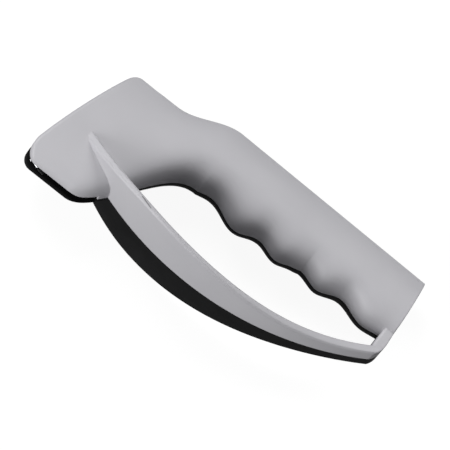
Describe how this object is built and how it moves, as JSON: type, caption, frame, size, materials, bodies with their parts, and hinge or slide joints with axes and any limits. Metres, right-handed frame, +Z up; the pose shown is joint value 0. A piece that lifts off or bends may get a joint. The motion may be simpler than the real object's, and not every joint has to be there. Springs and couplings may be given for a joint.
{
  "type": "pull through knife sharpener",
  "caption": "Hand-held knife sharpener with a knife slot and crossed hard-metal bars in its head, a grooved handle and a shield-shaped finger guard.",
  "frame": {"origin": "centre of the object's outline on the table it lies on", "axes": "+X from the nose to the butt, +Y from the guard to the back of the handle, +Z up from the table; the tool lies on its black half"},
  "size_m": [0.14, 0.0592, 0.0384],
  "materials": {
    "grey_shell": "satin",
    "black_shell": "satin",
    "carbide": "ground",
    "holder": "satin",
    "cover": "brushed",
    "screws": "zinc plated"
  },
  "bodies": {
    "root": {"grey_shell": "grey_shell", "black_shell": "black_shell", "front_carbide": "carbide", "rear_carbide": "carbide", "blade_holder": "holder", "holder_cover": "cover", "holder_screws": "screws", "case_screws": "screws"}
  },
  "joints": []
}
